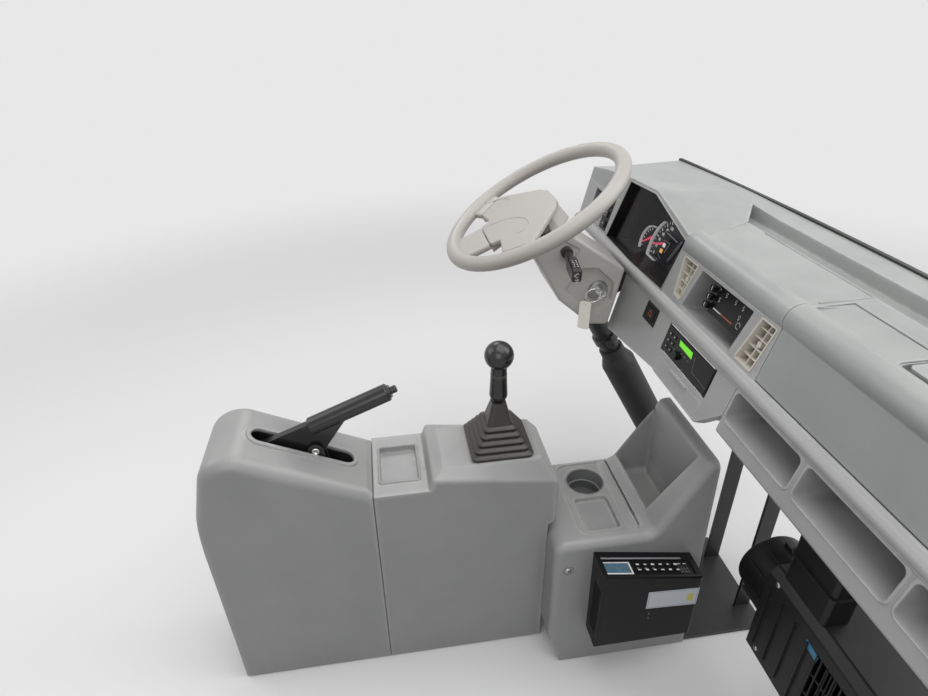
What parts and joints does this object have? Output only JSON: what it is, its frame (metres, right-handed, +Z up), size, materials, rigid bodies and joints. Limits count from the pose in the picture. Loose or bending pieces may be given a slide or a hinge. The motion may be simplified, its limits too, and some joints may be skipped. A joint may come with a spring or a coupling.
{
  "type": "kei truck dashboard and centre console",
  "caption": "Cab dashboard on its cross beam with steering wheel and column, instrument housing, glove lid, open shelf, front tower, gear lever and handbrake consoles and heater unit.",
  "frame": {"origin": "centre of the centre stay's four floor bolts, on the floor", "axes": "+X to the passenger side, +Y to the front of the vehicle, +Z up"},
  "size_m": [1.252, 1.1051, 0.8435],
  "materials": {
    "dash_grey": "fine grained, slightly bluish mid grey",
    "bin_grey": "plain darker grey",
    "wheel_grey": "smooth warm light grey",
    "vent_beige": "smooth beige",
    "black_gloss": "gloss black",
    "black_plastic": "satin black",
    "clear": "clear",
    "boot_rubber": "black rubber",
    "frame_steel": "black paint",
    "bare_steel": "bare"
  },
  "bodies": {
    "frame": {"ash_drawer": "dash_grey", "blower": "black_plastic", "brake_bracket": "frame_steel", "brake_console": "dash_grey", "centre_panel": "dash_grey", "centre_stay": "frame_steel", "cluster_housing": "black_plastic", "cluster_lens": "clear", "column_boot": "boot_rubber", "column_bracket": "frame_steel", "column_jacket": "frame_steel", "console_carrier": "frame_steel", "control_box": "black_plastic", "cross_beam": "frame_steel", "cup_holder": "bin_grey", "dash_pad": "dash_grey", "dial_plate": "black_gloss", "fascia": "dash_grey", "front_console": "dash_grey", "gear_boot": "boot_rubber", "gear_console": "dash_grey", "gear_housing": "frame_steel", "glove_bin": "bin_grey", "hazard_switch": "black_gloss", "heater_case": "black_plastic", "heater_duct": "black_plastic", "heater_grille": "black_plastic", "heater_panel": "black_gloss", "ignition_key": "bare_steel", "ignition_lock": "bare_steel", "niche": "dash_grey", "parcel_shelf": "dash_grey", "radio": "black_gloss", "screen_seal": "boot_rubber", "shroud": "wheel_grey", "stalk_left": "black_plastic", "stalk_right": "black_plastic", "switch_bank": "black_gloss", "vent_left": "vent_beige", "vent_right": "vent_beige", "vent_side_left": "bin_grey", "vent_side_right": "bin_grey"},
    "wheel": {"steering_shaft": "bare_steel", "steering_wheel": "wheel_grey", "wheel_pad": "wheel_grey"},
    "lid": {"glove_lid": "dash_grey", "lid_latch": "dash_grey"},
    "handbrake": {"brake_lever": "frame_steel"},
    "gear": {"gear_lever": "frame_steel"}
  },
  "joints": [
    {"name": "wheel_turn", "type": "hinge", "parent": "frame", "child": "wheel", "pos_m": [-0.319, -0.1, 0.743], "axis": [0, -0.493, 0.87], "range_deg": [-540, 540]},
    {"name": "lid_open", "type": "hinge", "parent": "frame", "child": "lid", "pos_m": [0.3015, 0.10134, 0.62911], "axis": [1, 0, 0], "range_deg": [0, 70]},
    {"name": "handbrake_drop", "type": "hinge", "parent": "frame", "child": "handbrake", "pos_m": [-0.018, -0.526, 0.458], "axis": [1, 0, 0], "range_deg": [-22, 0]},
    {"name": "gear_shift", "type": "hinge", "parent": "frame", "child": "gear", "pos_m": [-0.018, -0.226, 0.375], "axis": [1, 0, 0], "range_deg": [-12, 12], "deforming": ["gear_boot"]}
  ]
}
